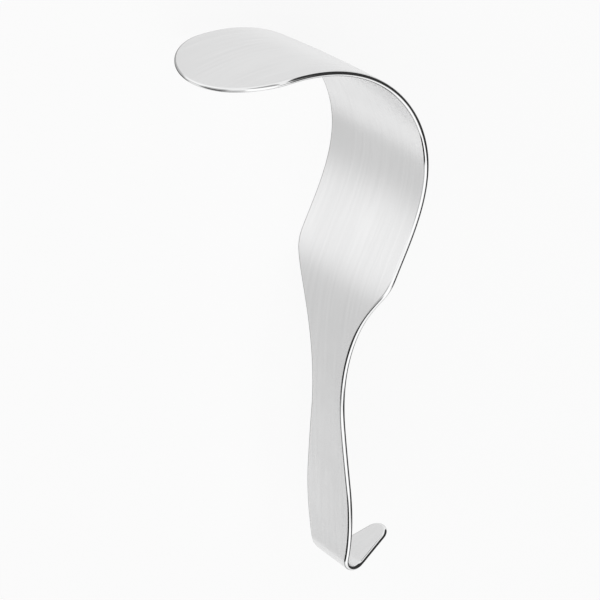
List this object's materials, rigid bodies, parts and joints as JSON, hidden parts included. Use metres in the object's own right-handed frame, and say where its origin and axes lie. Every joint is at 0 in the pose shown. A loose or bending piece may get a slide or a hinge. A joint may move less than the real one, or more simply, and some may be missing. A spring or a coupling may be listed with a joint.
{
  "type": "handheld surgical retractor",
  "caption": "Retractor bent from flat steel: a wide curved blade with a round end, a narrow neck, a waisted handle and a small tapered hook at the heel.",
  "frame": {"origin": "middle of the bounding box's footprint, at the height of the floor that the blade's side edge rests on", "axes": "+Y from the hook at the heel to the crown of the blade's bend, +Z along the width of the sheet, +X to the back of the instrument, away from the end of the blade"},
  "size_m": [0.0966, 0.2374, 0.0662],
  "materials": {
    "satin_steel": "fine satin brushing along the sheet, with a polished round rim"
  },
  "bodies": {
    "root": {"retractor": "satin_steel"}
  },
  "joints": []
}
